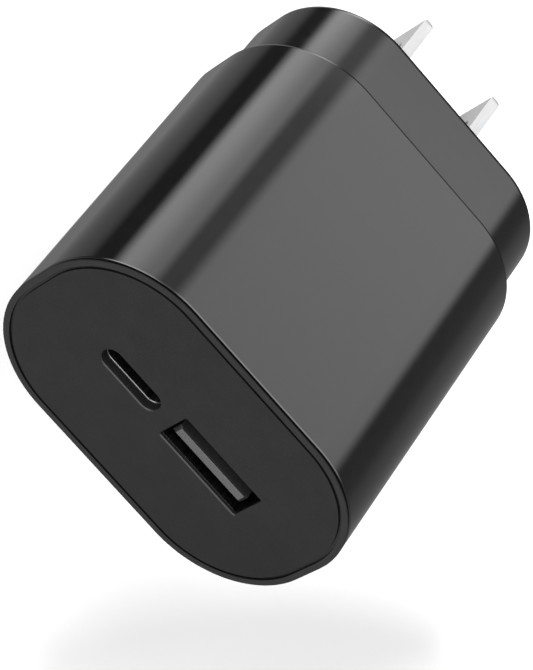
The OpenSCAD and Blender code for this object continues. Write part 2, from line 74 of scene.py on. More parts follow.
# Case section and stations along Y
BODY_W = shell_size.x
BODY_T = shell_size.z
BODY_R = 12.5
FRONT_Y = bezel_low.y
SHELL_FRONT_Y = shell_low.y
SHELL_REAR_Y = shell_high.y
SHELL_WALL = 2.2
SHELL_EDGE = 0.2
SHELL_REAR_R = 0.5
MOUTH_WALL = 0.5
MOUTH_GAP = 0.1
MOUTH_DEPTH = 1.3
SPIGOT_GAP = 0.1
SPIGOT_WALL = 1.2
RAIL_IN = 13.2
RAIL_TOP_BITE = 0.5
RAIL_LOW_BITE = 2.8
RAIL_T = 1
RAIL_GAP = 0.1
RAIL_FRONT_Y = -39.8
RAIL_REAR_Y = -24

# Bezel and panel
SEAT = 0.8
SEAT_DEPTH = 0.3
BEZEL_RIM = 0.15
BEZEL_CHAMFER = 0.05
SEAM_DEPTH = 0.45
SEAM = 0.35
PANEL_BOSS_GAP = 0.1
PANEL_BOSS = SHELL_WALL + SPIGOT_GAP + SPIGOT_WALL + PANEL_BOSS_GAP

# Rear housing
NECK_W = neck_size.x
NECK_T = neck_size.z
NECK_R = 11
NECK_EDGE = 1.0
NECK_WALL = 2.0
SLOT_PLAY = 0.1

# Ports
USB_C_X = centre_x("usb_c_shell")
USB_A_X = centre_x("usb_a_shell")
# Width, height and corner radius of each opening in the panel
USB_C_OPENING = (8.7, 2.9, 1.45)
USB_A_OPENING = (12.4, 4.95, 0.3)
PORT_CHAMFER = 0.13
BOARD_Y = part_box("port_board")[0].y / MM
RECEPTACLE_WALL = 0.3
LEG_W = 0.3
LEG_T = 0.6
LEG_Z = 0.8
LEG_REACH = 1.8
USB_C_TONGUE_W = 6.7
USB_C_TONGUE_T = 0.7
USB_C_TONGUE_START = 0.9
USB_C_BASE_START = 6.4
USB_A_TONGUE_W = 11.1
USB_A_TONGUE_T = 1.84
USB_A_TONGUE_RISE = 0.66
USB_A_BASE_LEN = 1.6
USB_A_PIN_START = 2.5
USB_A_PINS_X = (-3.5, -1, 1, 3.5)

# Blades
BLADE_T = 1.5
BLADE_W = 6.35
BLADE_TIP_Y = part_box("blade_left")[1].y / MM
BLADE_TAIL_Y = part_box("blade_left")[0].y / MM
BLADE_X = 6.35
BLADE_HOLE_Y = 11.7
BLADE_HOLE_R = 1.6
BLADE_TAIL_W = 5
BLADE_HEAD_W = 8.5
BLADE_HEAD_DEPTH = 1.5
BLADE_TIP_R = 1.4
BLADE_TIP_BEVEL = 1.2
BLADE_TIP_LAND = 0.5


# ---- mesh helpers ----

def outline(w, t, r):
    """Round rectangle in the XZ plane as (x, z) points, starting on the +X side."""
    points = []
    for quarter, (sx, sz) in enumerate(((1, 1), (-1, 1), (-1, -1), (1, -1))):
        for step in range(CORNER_STEPS + 1):
            angle = math.radians(90 * (quarter + step / CORNER_STEPS))
            points.append((sx * (w / 2 - r) + r * math.cos(angle),
                           sz * (t / 2 - r) + r * math.sin(angle)))
    return points


def filleted(path, closed):
    """Rounds the corners of a path of (a, b, radius) points and returns (a, b) points."""
    points = []
    for i, (a, b, radius) in enumerate(path):
        at_end = not closed and i in (0, len(path) - 1)
        if radius == 0 or at_end:
            points.append((a, b))
            continue
        corner = Vector((a, b))
        back = (Vector(path[i - 1][:2]) - corner).normalized()
        ahead = (Vector(path[(i + 1) % len(path)][:2]) - corner).normalized()
        half = back.angle(ahead) / 2
        centre = corner + (back + ahead).normalized() * radius / math.sin(half)
        start = corner + back * radius / math.tan(half) - centre
        end = corner + ahead * radius / math.tan(half) - centre
        for step in range(EDGE_STEPS + 1):
            spoke = start.slerp(end, step / EDGE_STEPS).normalized()
            points.append(tuple(centre + spoke * radius))
    return points


def new_piece(name, bm):
    """Object with the mesh that was built in bm, doubles joined and faces turned outwards."""
    bmesh.ops.remove_doubles(bm, verts=bm.verts, dist=MERGE)
    bmesh.ops.recalc_face_normals(bm, faces=bm.faces)
    mesh = bpy.data.meshes.new(name)
    bm.to_mesh(mesh)
    bm.free()
    piece = bpy.data.objects.new(name, mesh)
    bpy.context.scene.collection.objects.link(piece)
    return piece


def skin(name, loops, ring=False):
    """Closed mesh over loops of points; ring joins the last loop to the first, or both are capped."""
    bm = bmesh.new()
    rows = [[bm.verts.new(Vector(p) * MM) for p in loop] for loop in loops]
    pairs = list(zip(rows, rows[1:]))
    if ring:
        pairs.append((rows[-1], rows[0]))
    for low, high in pairs:
        for i in range(len(low)):
            bm.faces.new((low[i - 1], low[i], high[i], high[i - 1]))
    if not ring:
        bm.faces.new(rows[0])
        bm.faces.new(rows[-1])
    return new_piece(name, bm)


def loft(name, stations, ring=False, x=0, z=0):
    """Skin over round rectangles along Y, each station given as (width, height, radius, y)."""
    loops = []
    for w, t, r, y in stations:
        loops.append([(x + px, y, z + pz) for px, pz in outline(w, t, r)])
    return skin(name, loops, ring)


def inset_stations(w, t, r, path):
    """Stations of one section, each inset from it and set at y, from (inset, y) points."""
    return [(w - 2 * inset, t - 2 * inset, r - inset, y) for inset, y in path]


def block(name, x0, x1, y0, y1, z0, z1):
    corners = [(x0, z0), (x1, z0), (x1, z1), (x0, z1)]
    return skin(name, [[(x, y, z) for x, z in corners] for y in (y0, y1)])


def turned_x(name, profile, y):
    """Solid turned round an axis along X at y, from (radius, x) points."""
    turns = [2 * math.pi * i / TURN_STEPS for i in range(TURN_STEPS)]
    loops = []
    for radius, x in profile:
        loops.append([(x, y + radius * math.cos(a), radius * math.sin(a)) for a in turns])
    return skin(name, loops)


def apply_modifiers(piece):
    depsgraph = bpy.context.evaluated_depsgraph_get()
    mesh = bpy.data.meshes.new_from_object(piece.evaluated_get(depsgraph))
    mesh.name = piece.name
    piece.modifiers.clear()
    piece.data = mesh


def combine(piece, tool, operation):
    """Cuts the tool out of the piece (DIFFERENCE) or adds it (UNION), and removes the tool."""
    modifier = piece.modifiers.new("combine", "BOOLEAN")
    modifier.operation = operation
    modifier.object = tool
    modifier.solver = "EXACT"
    if tool.data.materials:
        modifier.material_mode = "TRANSFER"
    apply_modifiers(piece)
    bpy.data.objects.remove(tool)


def soften(piece, width):
    """Rounds the sharp edges of a piece by width millimetres."""
    modifier = piece.modifiers.new("soft_edges", "BEVEL")
    modifier.width = width * MM
    modifier.segments = 2
    modifier.limit_method = "ANGLE"
    modifier.angle_limit = math.radians(40)
    apply_modifiers(piece)


def finish_piece(piece, material, slot, *nodes):
    """Smooth shading, material, a parent under the root body, and the CAD nodes it stands for hidden.
    """
    if not piece.data.materials:
        piece.data.materials.append(material)
    piece.data.shade_smooth()
    piece.data.set_sharp_from_angle(angle=SMOOTH_ANGLE)
    weighted = piece.modifiers.new("even_normals", "WEIGHTED_NORMAL")
    weighted.keep_sharp = True
    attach(piece, "root")
    if nodes:
        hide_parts(*nodes)
    return piece


# ---- materials ----

def principled(name, **sockets):
    """New material with its Principled shader's constant sockets set."""
    material = bpy.data.materials.new(name)
    material.use_nodes = True
    tree = material.node_tree
    shader = tree.nodes["Principled BSDF"]
    for socket, value in sockets.items():
        shader.inputs[socket.replace("_", " ")].default_value = value
    return material, tree, shader


def noise(tree, size, stretch=(1, 1, 1), detail=3.0):
    """Noise whose grains are about size millimetres, stretched along the object's axes."""
    coords = tree.nodes.new("ShaderNodeTexCoord")
    mapping = tree.nodes.new("ShaderNodeMapping")
    mapping.inputs["Scale"].default_value = [1 / s for s in stretch]
    texture = tree.nodes.new("ShaderNodeTexNoise")
    texture.inputs["Scale"].default_value = 1 / (size * MM)
    texture.inputs["Detail"].default_value = detail
    tree.links.new(coords.outputs["Object"], mapping.inputs["Vector"])
    tree.links.new(mapping.outputs["Vector"], texture.inputs["Vector"])
    return texture.outputs["Fac"]


def spread_value(tree, factor, low, high):
    """Noise factor mapped to a value between low and high."""
    remap = tree.nodes.new("ShaderNodeMapRange")
    remap.inputs["From Min"].default_value = 0.3
    remap.inputs["From Max"].default_value = 0.7
    remap.inputs["To Min"].default_value = low
    remap.inputs["To Max"].default_value = high
    tree.links.new(factor, remap.inputs["Value"])
    return remap.outputs["Result"]


def spread_colour(tree, factor, dark, light):
    """Noise factor mapped to a colour between dark and light."""
    ramp = tree.nodes.new("ShaderNodeValToRGB")
    ramp.color_ramp.elements[0].position = 0.3
    ramp.color_ramp.elements[0].color = (*dark, 1)
    ramp.color_ramp.elements[1].position = 0.7
    ramp.color_ramp.elements[1].color = (*light, 1)
    tree.links.new(factor, ramp.inputs["Fac"])
    return ramp.outputs["Color"]


def add_bump(tree, shader, factor, height):
    """Bump of the given height in millimetres."""
    bump = tree.nodes.new("ShaderNodeBump")
    bump.inputs["Strength"].default_value = 1.0
    bump.inputs["Distance"].default_value = height * MM
    tree.links.new(factor, bump.inputs["Height"])
    tree.links.new(bump.outputs["Normal"], shader.inputs["Normal"])


def textured(name, dark, light, rough, grain, height, stretch=(1, 1, 1), detail=3.0, **sockets):
    """Surface whose colour, roughness and bump follow one noise."""
    material, tree, shader = principled(name, **sockets)
    factor = noise(tree, grain, stretch, detail)
    tree.links.new(spread_colour(tree, factor, dark, light), shader.inputs["Base Color"])
    tree.links.new(spread_value(tree, factor, *rough), shader.inputs["Roughness"])
    add_bump(tree, shader, factor, height)
    return material


def gloss_plastic(name, ior, rough):
    """Polished black moulding: mirror-like, with a faint waviness and slight haze marks."""
    material, tree, shader = principled(name, IOR=ior)
    wave = noise(tree, 14, detail=1.0)
    haze = noise(tree, 1.6, detail=4.0)
    tree.links.new(spread_colour(tree, haze, (0.0028, 0.0028, 0.003), (0.0034, 0.0034, 0.0036)),
                   shader.inputs["Base Color"])
    tree.links.new(spread_value(tree, haze, *rough), shader.inputs["Roughness"])
    add_bump(tree, shader, wave, 0.012)
    return material


def spark_plastic(name, dark, light, rough, grain, height, ior):
    """Spark-eroded plastic: a fine even grain over a little slow mottling."""
    material, tree, shader = principled(name, IOR=ior)
    fine = noise(tree, grain, detail=2.0)
    slow = noise(tree, 12 * grain, detail=2.0)
    tree.links.new(spread_colour(tree, slow, dark, light), shader.inputs["Base Color"])
    tree.links.new(spread_value(tree, fine, *rough), shader.inputs["Roughness"])
    add_bump(tree, shader, fine, height)
    return material


def banded(name, dark, light, pitch, axis, height, **sockets):
    """Rows of wire or film: bands across one axis, pitch millimetres apart."""
    material, tree, shader = principled(name, **sockets)
    coords = tree.nodes.new("ShaderNodeTexCoord")
    wave = tree.nodes.new("ShaderNodeTexWave")
    wave.bands_direction = axis
    wave.inputs["Scale"].default_value = math.pi / (10 * pitch * MM)
    wave.inputs["Distortion"].default_value = 0.3
    tree.links.new(coords.outputs["Object"], wave.inputs["Vector"])
    tree.links.new(spread_colour(tree, wave.outputs["Fac"], dark, light),
                   shader.inputs["Base Color"])
    add_bump(tree, shader, wave.outputs["Fac"], height)
    return material


case_gloss = gloss_plastic("case_gloss", 1.5, (0.05, 0.07))
rear_gloss = gloss_plastic("rear_gloss", 1.485, (0.12, 0.15))
port_gloss = spark_plastic("port_gloss", (0.003, 0.003, 0.0035), (0.005, 0.005, 0.0055),
                           (0.4, 0.5), 0.3, 0.001, 1.38)
bezel_satin = spark_plastic("bezel_satin", (0.0048, 0.0048, 0.005), (0.0065, 0.0065, 0.0067),
                            (0.30, 0.38), 0.12, 0.002, 1.42)
# Darker copy of the bezel and panel plastic: painted shade for their side walls, chamfer and the gaps
# between them
painted_edge_shade = spark_plastic("painted_edge_shade", (0.003, 0.003, 0.003), (0.004, 0.004, 0.004),
                           (0.45, 0.55), 0.15, 0.002, 1.18)
panel_matte = spark_plastic("panel_matte", (0.0030, 0.0032, 0.0031), (0.0043, 0.0045, 0.0044),
                            (0.52, 0.68), 0.22, 0.02, 1.36)
blade_nickel = textured("blade_nickel", (0.31, 0.31, 0.315), (0.35, 0.35, 0.355), (0.30, 0.40),
                        0.25, 0.002, stretch=(1, 12, 1), Metallic=0.35)
shell_dark = textured("shell_dark", (0.025, 0.025, 0.026), (0.04, 0.04, 0.041), (0.3, 0.42),
                      0.2, 0.002, stretch=(1, 10, 1), Metallic=1.0)
receptacle_steel = textured("receptacle_steel", (0.09, 0.09, 0.094), (0.12, 0.12, 0.125),
                            (0.26, 0.38), 0.2, 0.002, stretch=(1, 10, 1), Metallic=1.0)
tongue_black = textured("tongue_black", (0.008, 0.008, 0.010), (0.013, 0.013, 0.016),
                        (0.35, 0.5), 0.15, 0.004)
tongue_grey = textured("tongue_grey", (0.042, 0.042, 0.042), (0.052, 0.052, 0.052),
                       (0.40, 0.55), 0.15, 0.004)
# Darker copy of tongue_grey: painted shade for the tongue's top, underside, sides and grooves inside
# the opening
tongue_painted_shade = textured("tongue_painted_shade", (0.006, 0.006, 0.006), (0.009, 0.009, 0.009),
                        (0.5, 0.6), 0.15, 0.004)
contact_gold = textured("contact_gold", (0.72, 0.50, 0.18), (0.84, 0.62, 0.26), (0.2, 0.34),
                        0.15, 0.001, stretch=(1, 8, 1), Metallic=1.0)
contact_bronze = textured("contact_bronze", (0.55, 0.33, 0.14), (0.68, 0.43, 0.2), (0.28, 0.42),
                          0.2, 0.002, Metallic=1.0)
carrier_ivory = textured("carrier_ivory", (0.62, 0.58, 0.48), (0.70, 0.66, 0.56), (0.42, 0.56),
                         0.3, 0.006)
board_green = textured("board_green", (0.012, 0.11, 0.035), (0.02, 0.16, 0.05), (0.3, 0.42),
                       0.6, 0.012, detail=1.0)
fuse_sleeve = textured("fuse_sleeve", (0.03, 0.10, 0.24), (0.05, 0.14, 0.31), (0.25, 0.36),
                       0.4, 0.008)
chip_black = textured("chip_black", (0.012, 0.012, 0.013), (0.022, 0.022, 0.023), (0.48, 0.62),
                      0.08, 0.004)
chip_ivory = textured("chip_ivory", (0.68, 0.65, 0.56), (0.78, 0.75, 0.66), (0.4, 0.52),
                      0.1, 0.004)
ferrite = textured("ferrite", (0.035, 0.035, 0.038), (0.07, 0.07, 0.075), (0.5, 0.7),
                   0.12, 0.012)
copper_winding = banded("copper_winding", (0.30, 0.10, 0.03), (0.62, 0.27, 0.09), 0.22, "Y",
                        0.06, Roughness=0.3, Metallic=0.6)
litz_winding = banded("litz_winding", (0.50, 0.28, 0.06), (0.82, 0.52, 0.16), 0.5, "Y",
                      0.12, Roughness=0.34)
tape_yellow = textured("tape_yellow", (0.74, 0.50, 0.04), (0.84, 0.60, 0.07), (0.24, 0.34),
                       0.8, 0.01, stretch=(8, 1, 8))
can_sleeve = textured("can_sleeve", (0.022, 0.026, 0.13), (0.03, 0.036, 0.18), (0.2, 0.3),
                      0.5, 0.006)
can_aluminium = textured("can_aluminium", (0.60, 0.60, 0.62), (0.74, 0.74, 0.76), (0.25, 0.38),
                         0.2, 0.002, stretch=(1, 1, 8), Metallic=1.0)
seal_rubber = textured("seal_rubber", (0.010, 0.010, 0.010), (0.018, 0.018, 0.018),
                       (0.6, 0.75), 0.15, 0.008)
ceramic_blue = textured("ceramic_blue", (0.02, 0.12, 0.36), (0.035, 0.17, 0.46), (0.22, 0.34),
                        0.9, 0.03)
chip_tan = textured("chip_tan", (0.42, 0.32, 0.20), (0.54, 0.43, 0.29), (0.42, 0.56),
                    0.1, 0.004)
pad_grey = textured("pad_grey", (0.28, 0.33, 0.39), (0.36, 0.41, 0.48), (0.6, 0.75),
                    0.35, 0.02)
spreader_aluminium = textured("spreader_aluminium", (0.58, 0.58, 0.60), (0.72, 0.72, 0.74),
                              (0.28, 0.42), 0.2, 0.003, stretch=(12, 1, 1), Metallic=1.0)
sheet_cream = textured("sheet_cream", (0.72, 0.68, 0.54), (0.80, 0.76, 0.62), (0.5, 0.62),
                       0.5, 0.008)
floor_white = textured("floor_white", (0.305, 0.305, 0.305), (0.315, 0.315, 0.315),
                       (0.8, 0.9), 40, 0.01)


# ---- case ----

def make_shell():
    """Open sleeve with a stepped mouth, and the rails that hold the main board."""
    front = SHELL_FRONT_Y
    path = filleted([
        (MOUTH_WALL, front, 0.08),
        (0, front, SHELL_EDGE),
        (0, SHELL_REAR_Y, SHELL_REAR_R),
        (SHELL_WALL, SHELL_REAR_Y, 0.1),
        (SHELL_WALL, front + MOUTH_DEPTH, 0),
        (MOUTH_WALL, front + MOUTH_DEPTH, 0),
    ], closed=True)
    shell = loft("shell_moulding", inset_stations(BODY_W, BODY_T, BODY_R, path), ring=True)
    add_rails(shell)
    finish_piece(shell, case_gloss, "case_gloss", "main_shell")


def add_rails(shell):
    """Two pairs of rails, over and under the edges of the main board."""
    board_low, board_high, _ = size_of("main_board")
    wall_x = BODY_W / 2 - SHELL_WALL
    over_z = board_high.z + RAIL_GAP
    under_z = board_low.z - RAIL_GAP
    for side in (-1, 1):
        for low_z, high_z, reach in ((over_z, over_z + RAIL_T, wall_x - RAIL_TOP_BITE),
                                     (under_z - RAIL_T, under_z, wall_x - RAIL_LOW_BITE)):
            x0, x1 = sorted((side * RAIL_IN, side * reach))
            rail = block("rail", x0, x1, RAIL_FRONT_Y, RAIL_REAR_Y, low_z, high_z)
            combine(shell, rail, "UNION")


def make_rear_housing():
    """Slimmer cup on the wall side, with a spigot inside the shell and two blade slots."""
    cavity_w = BODY_W - 2 * SHELL_WALL
    cavity_t = BODY_T - 2 * SHELL_WALL
    rear = inset_stations(NECK_W, NECK_T, NECK_R, filleted([
        (NECK_EDGE + 0.2, 0, 0),
        (0, 0, NECK_EDGE),
        (0, SHELL_REAR_Y, 0.12),
        (0.4, SHELL_REAR_Y, 0),
    ], closed=False))
    cavity_r = BODY_R - SHELL_WALL
    spigot = inset_stations(cavity_w, cavity_t, cavity_r, filleted([
        (SPIGOT_GAP, SHELL_REAR_Y, 0),
        (SPIGOT_GAP, neck_low.y, 0.3),
        (SPIGOT_GAP + 0.6, neck_low.y, 0),
    ], closed=False))
    cavity = inset_stations(NECK_W, NECK_T, NECK_R, [
        (NECK_WALL, neck_low.y),
        (NECK_WALL, -NECK_WALL),
    ])
    housing = loft("rear_housing_moulding", rear + spigot + cavity)
    slot_w = BLADE_T + SLOT_PLAY
    slot_h = BLADE_W + SLOT_PLAY
    for side in (-1, 1):
        slot = loft("slot", [
            (slot_w + 0.7, slot_h + 0.7, 0.45, 0.25),
            (slot_w, slot_h, 0.1, -0.1),
            (slot_w, slot_h, 0.1, -NECK_WALL - 1),
        ], x=side * BLADE_X)
        combine(housing, slot, "DIFFERENCE")
    finish_piece(housing, rear_gloss, "case_gloss", "rear_housing")


def paint_shade_on_sides(piece, face, shade):
    """Gives the faces that look forward one material and all the others a darker one, which is
    painted shade for the side walls, edges and gaps where little light falls.
    """
    piece.data.materials.append(face)
    piece.data.materials.append(shade)
    for polygon in piece.data.polygons:
        polygon.material_index = 0 if polygon.normal.y < -0.8 else 1


def make_bezel():
    """Front ring: chamfered rim, parting groove, spigot in the shell and a seat for the panel."""
    rim_y = FRONT_Y + BEZEL_RIM
    groove_y = SHELL_FRONT_Y
    mouth = MOUTH_WALL + MOUTH_GAP
    spigot = SHELL_WALL + SPIGOT_GAP
    inner = spigot + SPIGOT_WALL
    seat_y = FRONT_Y + SEAT_DEPTH
    path = filleted([
        (SEAT, FRONT_Y, 0.05),
        (BEZEL_CHAMFER, FRONT_Y, 0.02),
        (0, FRONT_Y + BEZEL_CHAMFER, 0.02),
        (0, rim_y, 0.02),
        (SEAM_DEPTH, rim_y, 0),
        (SEAM_DEPTH, groove_y, 0),
        (mouth, groove_y, 0),
        (mouth, groove_y + MOUTH_DEPTH, 0),
        (spigot, groove_y + MOUTH_DEPTH, 0),
        (spigot, bezel_high.y, 0.2),
        (inner, bezel_high.y, 0.2),
        (inner, seat_y, 0),
        (SEAT, seat_y, 0),
    ], closed=True)
    bezel = loft("bezel_moulding", inset_stations(BODY_W, BODY_T, BODY_R, path), ring=True)
    # The bezel's side walls and chamfer get painted shade, standing in for the shade in the parting
    # groove and the panel's seat
    paint_shade_on_sides(bezel, bezel_satin, painted_edge_shade)
    finish_piece(bezel, bezel_satin, "bezel_satin", "bezel_ring")


def port_cutter(x, opening, receptacle, mouth_y):
    """Chamfered opening through the panel, widened behind for the receptacle's shell."""
    w, t, r = opening
    flare = PORT_CHAMFER + 0.5
    back = panel_high.y + 1
    cutter = loft("port_cutter", [
        (w + 2 * flare, t + 2 * flare, r + flare, FRONT_Y - 0.5),
        (w, t, r, FRONT_Y + PORT_CHAMFER),
        (w, t, r, mouth_y),
        (*receptacle, mouth_y),
        (*receptacle, back),
    ], x=x)
    cutter.data.materials.append(port_gloss)
    return cutter


def make_panel():
    """Flush panel with the two port openings."""
    flange = SEAT + SEAM
    seat_y = FRONT_Y + SEAT_DEPTH
    path = filleted([
        (flange + 0.5, FRONT_Y, 0),
        (flange, FRONT_Y, 0.06),
        (flange, seat_y, 0),
        (PANEL_BOSS, seat_y, 0),
        (PANEL_BOSS, panel_high.y, 0.2),
        (PANEL_BOSS + 0.5, panel_high.y, 0),
    ], closed=False)
    panel = loft("port_panel_moulding", inset_stations(BODY_W, BODY_T, BODY_R, path))
    # The panel's flange and boss walls get painted shade, standing in for the shade in the gap round
    # the panel
    paint_shade_on_sides(panel, panel_matte, painted_edge_shade)
    c_low, _, c_size = size_of("usb_c_shell")
    a_low, _, a_size = size_of("usb_a_shell")
    c_pocket = (c_size.x + 0.1, c_size.z + 0.1, c_size.z / 2 + 0.05)
    a_pocket = (a_size.x + 0.1, a_size.z + 0.1, 0.3)
    combine(panel, port_cutter(USB_C_X, USB_C_OPENING, c_pocket, c_low.y), "DIFFERENCE")
    combine(panel, port_cutter(USB_A_X, USB_A_OPENING, a_pocket, a_low.y), "DIFFERENCE")
    finish_piece(panel, panel_matte, "panel_matte", "port_panel")


make_shell()
make_rear_housing()
make_bezel()
make_panel()


# ---- blades ----

def blade_outline():
    """Half outline of a blade as (y, z) points, from its tail in the case to its round tip."""
    head_y = -NECK_WALL
    head_end_y = head_y - BLADE_HEAD_DEPTH
    points = [
        (BLADE_TAIL_Y, BLADE_TAIL_W / 2),
        (head_end_y, BLADE_TAIL_W / 2),
        (head_end_y, BLADE_HEAD_W / 2),
        (head_y, BLADE_HEAD_W / 2),
        (head_y, BLADE_W / 2),
    ]
    steps = 2 * EDGE_STEPS
    for step in range(steps + 1):
        angle = math.radians(90 - 90 * step / steps)
        points.append((BLADE_TIP_Y - BLADE_TIP_R + BLADE_TIP_R * math.cos(angle),
                       BLADE_W / 2 - BLADE_TIP_R + BLADE_TIP_R * math.sin(angle)))
    return points


def bevel_tip(bm, side):
    """Slices one face of the blade down to the narrow land at its tip."""
    land = BLADE_TIP_LAND / 2
    along = Vector((land - BLADE_T / 2, BLADE_TIP_BEVEL, 0))
    out = Vector((side * along.y, -along.x, 0)).normalized()
    on_plane = Vector((side * land, BLADE_TIP_Y, 0)) * MM
    geometry = bm.verts[:] + bm.edges[:] + bm.faces[:]
    bmesh.ops.bisect_plane(bm, geom=geometry, plane_co=on_plane, plane_no=out, clear_outer=True)
    rim = [e for e in bm.edges if e.is_boundary]
    bmesh.ops.holes_fill(bm, edges=rim)


def make_blade(side):
    """Flat blade with a bevelled round tip and a chamfered detent hole."""
    half = blade_outline()
    whole = half + [(y, -z) for y, z in reversed(half)]
    loops = [[(x, y, z) for y, z in whole] for x in (-BLADE_T / 2, BLADE_T / 2)]
    blade = skin("blade_left_pin" if side < 0 else "blade_right_pin", loops)
    bm = bmesh.new()
    bm.from_mesh(blade.data)
    bevel_tip(bm, 1)
    bevel_tip(bm, -1)
    bmesh.ops.recalc_face_normals(bm, faces=bm.faces)
    bm.to_mesh(blade.data)
    bm.free()
    rim = BLADE_T / 2
    chamfer = 0.12
    hole = turned_x("hole", [
        (BLADE_HOLE_R + chamfer + 0.1, -rim - 0.1),
        (BLADE_HOLE_R, chamfer - rim),
        (BLADE_HOLE_R, rim - chamfer),
        (BLADE_HOLE_R + chamfer + 0.1, rim + 0.1),
    ], BLADE_HOLE_Y)
    combine(blade, hole, "DIFFERENCE")
    soften(blade, 0.07)
    blade.data.transform(Matrix.Translation((side * BLADE_X * MM, 0, 0)))
    finish_piece(blade, blade_nickel, "blade_nickel",
                 "blade_left" if side < 0 else "blade_right")


make_blade(-1)
make_blade(1)


# ---- receptacles ----

def add_legs(shell, x, w):
    """Four solder legs of a receptacle shell, through the port board."""
    for sx in (-1, 1):
        for sz in (-1, 1):
            leg_x = x + sx * (w - RECEPTACLE_WALL) / 2
            leg_z = sz * LEG_Z
            leg = block("leg", leg_x - LEG_W / 2, leg_x + LEG_W / 2, BOARD_Y - 0.3,
                        BOARD_Y + LEG_REACH, leg_z - LEG_T / 2, leg_z + LEG_T / 2)
            combine(shell, leg, "UNION")


def receptacle(name, x, low_y, size, wall_r):
    """Drawn steel tube with a rolled mouth; wall_r is the radius inside its corners."""
    wall = inset_stations(size.x, size.z, wall_r + RECEPTACLE_WALL, filleted([
        (0, BOARD_Y, 0),
        (0, low_y, 0.1),
        (RECEPTACLE_WALL, low_y, 0.15),
        (RECEPTACLE_WALL, BOARD_Y, 0),
    ], closed=True))
    return loft(name, wall, ring=True, x=x)


def make_usb_c():
    """USB-C shell with its legs, and the flat tongue that stands on a base in it."""
    low, _, size = size_of("usb_c_shell")
    inner_r = size.z / 2 - RECEPTACLE_WALL
    shell = receptacle("usb_c_receptacle", USB_C_X, low.y, size, inner_r)
    add_legs(shell, USB_C_X, size.x)
    finish_piece(shell, receptacle_steel, "receptacle_steel", "usb_c_shell")

    inner_w = size.x - 2 * RECEPTACLE_WALL
    inner_t = size.z - 2 * RECEPTACLE_WALL
    base_y = low.y + USB_C_BASE_START
    tongue_y = low.y + USB_C_TONGUE_START
    tongue = loft("usb_c_tongue_moulding", [
        (USB_C_TONGUE_W - 0.2, USB_C_TONGUE_T - 0.2, 0.08, tongue_y),
        (USB_C_TONGUE_W, USB_C_TONGUE_T, 0.1, tongue_y + 0.12),
        (USB_C_TONGUE_W, USB_C_TONGUE_T, 0.1, base_y),
        (inner_w, inner_t, inner_t / 2, base_y),
        (inner_w, inner_t, inner_t / 2, BOARD_Y),
    ], x=USB_C_X)
    finish_piece(tongue, tongue_black, "tongue_black", "usb_c_tongue")


def cut_spring_fingers(shell, low, size):
    """Frees two spring fingers in each broad side by slits along them and across their ends."""
    slit = 0.35
    half = 0.9
    overlap = 0.01
    reach = 0.6
    y0 = low.y + 2
    y1 = low.y + 6.5
    for sx in (-1, 1):
        for sz in (-1, 1):
            x = USB_A_X + sx * 3
            z0, z1 = sorted((sz * (size.z / 2 - reach), sz * (size.z / 2 + reach)))
            for x0, x1, ya in ((x - half - slit, x - half, y0),
                               (x + half, x + half + slit, y0),
                               (x - half - overlap, x + half + overlap, y1)):
                combine(shell, block("slit", x0, x1, ya, y1 + slit, z0, z1), "DIFFERENCE")


def make_usb_a_shell():
    """USB-A shell with its spring fingers and legs."""
    low, _, size = size_of("usb_a_shell")
    shell = receptacle("usb_a_receptacle", USB_A_X, low.y, size, 0.2)
    cut_spring_fingers(shell, low, size)
    add_legs(shell, USB_A_X, size.x)
    finish_piece(shell, shell_dark, "receptacle_steel", "usb_a_shell")


def make_usb_a_tongue():
    """Tongue on a base: bevelled nose, contact grooves on top, and notches under the nose."""
    _, _, shell_box = size_of("usb_a_shell")
    front = size_of("usb_a_tongue")[0].y
    w = USB_A_TONGUE_W
    t = USB_A_TONGUE_T
    top = USB_A_TONGUE_RISE - (shell_box.z / 2 - RECEPTACLE_WALL) + t
    under = top - t
    base_y = BOARD_Y - USB_A_BASE_LEN
    tongue = loft("usb_a_tongue_moulding", [
        (w - 1.0, t - 0.3, 0.12, front),
        (w - 0.8, t - 0.1, 0.18, front + 0.05),
        (w, t, 0.2, front + 0.4),
        (w, t, 0.2, base_y + 0.1),
    ], x=USB_A_X, z=top - t / 2)
    base_w = shell_box.x - 2 * RECEPTACLE_WALL
    base_t = shell_box.z - 2 * RECEPTACLE_WALL
    base = loft("base", [(base_w, base_t, 0.2, y) for y in (base_y, BOARD_Y)], x=USB_A_X)
    combine(tongue, base, "UNION")
    corner = ((front - 0.5, -0.5), (front + 1.2, -0.5), (front - 0.5, 1.2))
    lip = skin("lip", [[(x, y, under + z) for y, z in corner]
                       for x in (USB_A_X - w, USB_A_X + w)])
    combine(tongue, lip, "DIFFERENCE")
    for pin_x in USB_A_PINS_X:
        x = USB_A_X + pin_x
        groove = block("groove", x - 0.5, x + 0.5, front + USB_A_PIN_START, BOARD_Y + 1,
                       top - 0.3, top + 3)
        combine(tongue, groove, "DIFFERENCE")
        notch = block("notch", x - 0.55, x + 0.55, front - 1, front + 1.2,
                      under - 1, under + 0.45)
        combine(tongue, notch, "DIFFERENCE")
    # Only the nose looks forward; the rest of the tongue gets painted shade
    paint_shade_on_sides(tongue, tongue_grey, tongue_painted_shade)
    finish_piece(tongue, tongue_grey, "tongue_grey", "usb_a_tongue")


make_usb_c()
make_usb_a_shell()
make_usb_a_tongue()


# ---- CAD nodes whose shape is right ----

